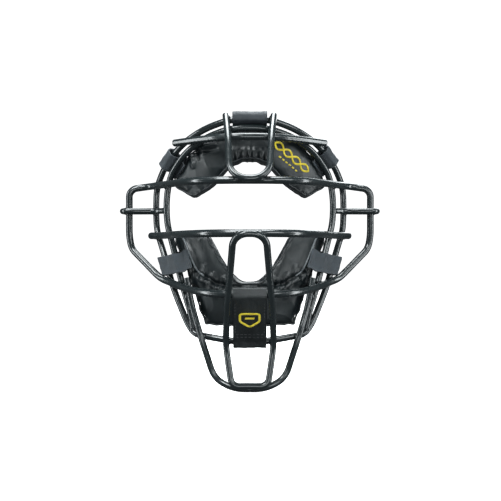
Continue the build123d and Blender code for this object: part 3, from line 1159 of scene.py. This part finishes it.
class MASK_OT_jaw_pad(bpy.types.Operator):
    """Sew and fill the jaw pad"""

    bl_idname = "mask.jaw_pad"
    bl_label = "Jaw Pad"

    def execute(self, context):
        folds = []
        for side in (-1, 1):
            folds += [
                (((side * 66, 14), (side * 52, -20)), 3.2, 3.0),
                (((side * 74, 2), (side * 61, -24)), 3.2, -2.6),
                (((side * 54, -20), (side * 30, -33)), 2.6, -3.6),
                (((side * 40, -31), (side * 4, -36)), 2.4, -3.4),
                (((side * 50, -25), (side * 20, -41)), 2.6, 2.4),
                (((side * 26, -24), (side * 14, -36)), 2.2, 1.7),
                (((side * 36, -20), (side * 32, -34)), 2.0, 1.5),
                (((side * 44, -12), (side * 43, -26)), 2.4, 1.4),
                (((side * 62, -33), (side * 40, -38)), 2.4, -1.9),
                (((side * 60, -30), (side * 30, -45)), 2.4, 1.5),
            ]

        def chin_gathers(x, z):
            """Short creases that run out of the seam between collar and chin panel."""
            seam = -40 + 0.0062 * x**2
            band = np.exp(-(((z - seam) / 6.0) ** 2))
            return 0.8 * band * np.cos(x * 0.95 + 1.3 * np.sin(x * 0.21))

        def scallop(x, z):
            """The lower edge dips a little between its stitches."""
            return 0.35 * np.exp(-(((z + 73) / 4.0) ** 2)) * np.cos(x * 0.5)

        skin = make_pad("jaw_pad", folds, chin_gathers, scallop, pad_materials())
        half = [(66.5, 14), (63, 7.5), (58, -5), (53.5, -15), (49.5, -20.5), (43, -24.5)]
        lines = [half, [(-x, z) for x, z in half]]
        # The welt cords carry a painted highlight: the bright line along each fold of the collar.
        welt_along(skin, "jaw_pad_welts_painted_highlight", lines, bpy.data.materials["welt_painted_highlight_leather"])
        return {"FINISHED"}


class MASK_OT_wrap_tabs(bpy.types.Operator):
    """Cut and fold the four cloth tabs"""

    bl_idname = "mask.wrap_tabs"
    bl_label = "Wrap Tabs"

    def execute(self, context):
        cloth = cloth_material("tab_cloth", tuple(colours().webbing), 0.55 * MM)
        thread = thread_material("dark_thread", tuple(colours().thread))
        for tab in TABS:
            make_strap(tab, cloth, thread)
        return {"FINISHED"}


class MASK_OT_leather_straps(bpy.types.Operator):
    """Cut and fold the crown strap and the chin strap"""

    bl_idname = "mask.leather_straps"
    bl_label = "Leather Straps"

    def execute(self, context):
        tones = colours()
        thread = bpy.data.materials["dark_thread"]
        crown = leather_material("crown_leather", tuple(tones.crown), 1500.0, 0.5, 0.25)
        chin = leather_material("chin_leather", tuple(tones.strap), 1150.0, 0.42, 0.6)
        make_strap("crown_strap", crown, thread)
        make_strap("chin_strap", chin, thread)
        return {"FINISHED"}


def pile_patch(strap, half, material):
    """One half of a hook and loop fastener: a rounded backing with rows of hooks or soft loops."""
    node = f"{strap}_{half}_patch"
    place = strap_place(strap)
    low, high = local_box(node, place)
    deep, wide = high.y - low.y, high.z - low.z
    backing = primitive(bpy.ops.mesh.primitive_cube_add, size=1)
    middle = (low.x + high.x) / 2
    # The loops' backing is sewn down into the pad.
    inner, outer = (low.x - 2.5 * MM, middle) if half == "loop" else (middle, high.x)
    lay = Matrix.Translation(((inner + outer) / 2, (low.y + high.y) / 2, (low.z + high.z) / 2))
    place_mesh(backing, lay @ Matrix.Diagonal((outer - inner, deep, wide, 1)))
    modify(backing, "BEVEL", width=0.28 * MM, segments=3)
    rows, columns = 10, 12
    tufts = [backing]
    lean = 0.4 if half == "loop" else -0.4
    shape = (0.5, 0.62, 0.66) if half == "loop" else (0.62, 0.2, 0.42)
    stretch = Matrix.Diagonal((*(size * MM for size in shape), 1))
    for row in range(rows):
        for column in range(columns):
            tuft = primitive(bpy.ops.mesh.primitive_ico_sphere_add, subdivisions=1, radius=1)
            jog = sin(row * 12.9 + column * 78.2) * 0.2
            spot = Vector((
                middle,
                low.y + deep * (row + 0.5 + jog) / rows,
                low.z + wide * (column + 0.5 - jog) / columns,
            ))
            tilt = Matrix.Rotation(jog * 2, 4, "X") @ Matrix.Rotation(lean, 4, "Z")
            place_mesh(tuft, Matrix.Translation(spot) @ tilt @ stretch)
            tufts.append(tuft)
    patch = join(tufts, node + "_pile")
    place_mesh(patch, place)
    smooth(patch, 60)
    body = strap + "_flap" if half == "hook" else "root"
    finish_piece(patch, material, body=body, replaces=(node,))


def snap_seat(strap, material):
    """A leather washer that ties a snap's stud to the pad behind it."""
    place = strap_place(strap)
    low, high = local_box(strap + "_snap_stud", place)
    depth, radius = 4.5 * MM, 5.6 * MM
    seat = primitive(bpy.ops.mesh.primitive_cylinder_add, vertices=32, radius=1, depth=1)
    seat.name = strap + "_snap_seat"
    lay = Matrix.Translation(
        (low.x - depth / 2 + 0.3 * MM, (low.y + high.y) / 2, (low.z + high.z) / 2)
    )
    turn = Matrix.Rotation(pi / 2, 4, "Y")
    place_mesh(seat, lay @ turn @ Matrix.Diagonal((radius, radius, depth, 1)))
    modify(seat, "BEVEL", width=0.6 * MM, segments=3, limit_method="ANGLE",
           angle_limit=radians(50))
    place_mesh(seat, place)
    outward(seat)
    smooth(seat, 40)
    finish_piece(seat, material)


class MASK_OT_fasteners(bpy.types.Operator):
    """Finish the hook and loop patches and the snaps"""

    bl_idname = "mask.fasteners"
    bl_label = "Fasteners"

    def execute(self, context):
        pile = fuzzy_material("short_pile", tuple(colours().pile), 1900.0, 0.8)
        metal = metal_material()
        for tab in TABS:
            for half in ("hook", "loop"):
                pile_patch(tab, half, pile)
        for strap in LEATHER_STRAPS:
            snap_seat(strap, bpy.data.materials["chin_leather"])
        for node, obj in NODES.items():
            if "_snap_" in node:
                obj.data.materials.clear()
                obj.data.materials.append(metal)
                obj.data.shade_smooth()
                smooth(obj, 35)
        return {"FINISHED"}


class MASK_OT_emblems(bpy.types.Operator):
    """Embroider the brow pad and the chin strap with plain geometric marks"""

    bl_idname = "mask.emblems"
    bl_label = "Emblems"

    def execute(self, context):
        yellow = thread_material("emblem_thread", tuple(colours().embroidery), 0.42)
        self.chin_mark(yellow)
        self.brow_mark(yellow)
        return {"FINISHED"}

    def chin_mark(self, yellow):
        """A home plate with a bar across it, on the chin strap."""
        low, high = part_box("chin_emblem")
        centre = (low + high) / 2
        place = strap_place("chin_strap")
        box_low, box_high = local_box("chin_emblem", place)
        run = Vector((box_high.x - box_low.x, box_low.y - box_high.y, 0)).normalized()
        down = place.to_3x3() @ run
        across = Vector((1, 0, 0))
        out = across.cross(down).normalized()
        if out.y > 0:
            out = -out

        def on_strap(x, z):
            return centre + (across * x - down * z) * MM + out * 0.2 * MM

        plate = [on_strap(x, z) for x, z in ((-9, 7.5), (9, 7.5), (9, -1.5), (0, -8), (-9, -1.5))]
        outline = rounded(plate)
        bar = [on_strap(x, 2.2) for x in (-4.2, 4.2)]
        strips = [
            (outline, [out] * len(outline), 2.6 * MM, 0.6 * MM),
            (bar, [out, out], 2.6 * MM, 0.6 * MM),
        ]
        embroider("chin_mark", "chin_emblem", strips, yellow)

    def brow_mark(self, yellow):
        """A two-strand braid along the slope of the brow, over a row of short bars."""
        skin = bpy.data.objects["brow_pad_skin"]
        middle_x, middle_z, slope = 40, 90, radians(-38)

        def on_pad(along, across):
            x = (middle_x + along * cos(slope) - across * sin(slope)) * MM
            z = (middle_z + along * sin(slope) + across * cos(slope)) * MM
            spot, normal = on_front(skin, x, z)
            return spot + normal * 0.15 * MM, normal

        def run(points, width, rise):
            placed = [on_pad(*point) for point in points]
            return [p for p, _ in placed], [n for _, n in placed], width * MM, rise * MM

        strips = []
        for phase in (0, pi):
            steps = [step * 1.4 for step in range(31)]
            wave = [(step - 21, 1.4 + 3.4 * sin(step / 10.5 * pi + phase)) for step in steps]
            strips.append(run(wave, 2.3, 0.6))
        for along in range(-10, 14, 4):
            strips.append(run([(along, -6.4), (along + 2.2, -6.4)], 2.0, 0.4))
        embroider("brow_mark", "brow_emblem", strips, yellow)


class MASK_OT_studio(bpy.types.Operator):
    """Set up the floor, the backdrop, the lights and the camera"""

    bl_idname = "mask.studio"
    bl_label = "Studio"

    def execute(self, context):
        floor_height = cad_bounds[0].z - sizes().floor_gap
        floor = primitive(bpy.ops.mesh.primitive_circle_add, vertices=96, radius=4.5,
                          fill_type="NGON")
        floor.name = "studio_floor"
        place_mesh(floor, Matrix.Translation((0, 0, floor_height)))
        dome = primitive(bpy.ops.mesh.primitive_uv_sphere_add, segments=48, ring_count=24, radius=5)
        dome.name = "studio_dome"
        start_edit(dome, "FACE")
        bpy.ops.mesh.select_all(action="SELECT")
        bpy.ops.mesh.flip_normals()
        end_edit()
        smooth(dome)
        self.paper(floor, 0.96)
        self.paper(dome, 1.0)

        # Name, place, width, height and power.
        for soft_box in (
            ("key", (-0.55, -1.0, 1.0), 0.5, 0.5, 15),
            ("fill", (0.8, -1.05, 0.45), 0.6, 0.6, 6),
            ("top", (0.0, -0.05, 1.3), 0.9, 0.7, 27),
            ("low", (0.1, -1.0, -0.12), 0.5, 0.3, 2),
            ("left", (-1.1, -0.35, 0.05), 0.22, 1.3, 9),
            ("right", (1.1, -0.3, 0.05), 0.22, 1.3, 9),
            ("rim", (0.3, 1.1, 0.8), 0.9, 0.9, 10),
        ):
            self.soft_light(*soft_box)
        world = context.scene.world or bpy.data.worlds.new("studio")
        context.scene.world = world
        world.use_nodes = True
        background = world.node_tree.nodes["Background"]
        background.inputs["Color"].default_value = (0.88, 0.97, 1.0, 1)
        background.inputs["Strength"].default_value = 0.09
        context.scene.view_settings.view_transform = "Standard"

        bpy.ops.object.camera_add(
            location=(0.7 * MM, -sizes().camera_distance, 0.5 * MM), rotation=(pi / 2, 0, 0)
        )
        camera = context.object
        camera.data.lens = sizes().camera_lens
        camera.data.sensor_width = 36
        context.scene.camera = camera
        return {"FINISHED"}

    def paper(self, obj, glow):
        """Plain glowing paper that neither shades the mask nor shows in its gloss."""
        material, tree, shader = new_material(obj.name + "_paper")
        where = coordinates(tree)
        fibre = add_node(tree, "ShaderNodeTexNoise", Scale=220.0, Detail=4.0)
        tree.links.new(where, fibre.inputs["Vector"])
        tone = tuple(colours().floor)
        two_colours(tree, shader, fibre.outputs["Fac"], shade(tone, 0.995), tone)
        set_inputs(shader, Roughness=0.9, Emission_Color=(1, 1, 1, 1), Emission_Strength=glow)
        obj.data.materials.append(material)
        obj.visible_glossy = False
        obj.visible_diffuse = False
        obj.visible_transmission = False
        obj.visible_shadow = False

    def soft_light(self, name, spot, width, height, power):
        """A soft box aimed at the middle of the mask."""
        bpy.ops.object.light_add(type="AREA", location=spot)
        light = bpy.context.object
        light.name = "soft_" + name
        light.data.shape = "RECTANGLE"
        light.data.size = width
        light.data.size_y = height
        light.data.energy = power
        light.data.color = (0.93, 0.985, 1.0)
        light.rotation_euler = (-Vector(spot)).to_track_quat("-Z", "Y").to_euler()


class MASK_PT_workshop(bpy.types.Panel):
    """Lists the steps that finish the mask"""

    bl_idname = "MASK_PT_workshop"
    bl_label = "Face Mask Workshop"
    bl_space_type = "VIEW_3D"
    bl_region_type = "UI"
    bl_category = "Face Mask"

    def draw(self, context):
        steps = self.layout.column(align=True)
        for operator in OPERATORS:
            steps.operator(operator.bl_idname)
        for group in (context.scene.mask_sizes, context.scene.mask_colours):
            box = self.layout.box().column(align=True)
            for name in type(group).__annotations__:
                box.prop(group, name)


OPERATORS = (
    MASK_OT_coat_cage, MASK_OT_weld_beads, MASK_OT_rod_ends, MASK_OT_brow_pad, MASK_OT_jaw_pad,
    MASK_OT_wrap_tabs, MASK_OT_leather_straps, MASK_OT_fasteners, MASK_OT_emblems,
    MASK_OT_studio,
)
CLASSES = (MaskSizes, MaskColours, *OPERATORS, MASK_PT_workshop)


def register():
    """Make the classes and the settings known to Blender."""
    for item in CLASSES:
        bpy.utils.register_class(item)
    bpy.types.Scene.mask_sizes = bpy.props.PointerProperty(type=MaskSizes)
    bpy.types.Scene.mask_colours = bpy.props.PointerProperty(type=MaskColours)


def unregister():
    """Undo what register does."""
    del bpy.types.Scene.mask_colours
    del bpy.types.Scene.mask_sizes
    for item in reversed(CLASSES):
        bpy.utils.unregister_class(item)


def main():
    """Make every piece in order."""
    register()
    bpy.ops.object.select_all(action="DESELECT")
    bpy.ops.mask.coat_cage()
    bpy.ops.mask.weld_beads()
    bpy.ops.mask.rod_ends()
    bpy.ops.mask.brow_pad()
    bpy.ops.mask.jaw_pad()
    bpy.ops.mask.wrap_tabs()
    bpy.ops.mask.leather_straps()
    bpy.ops.mask.fasteners()
    bpy.ops.mask.emblems()
    bpy.ops.mask.studio()


if __name__ == "__main__":
    main()
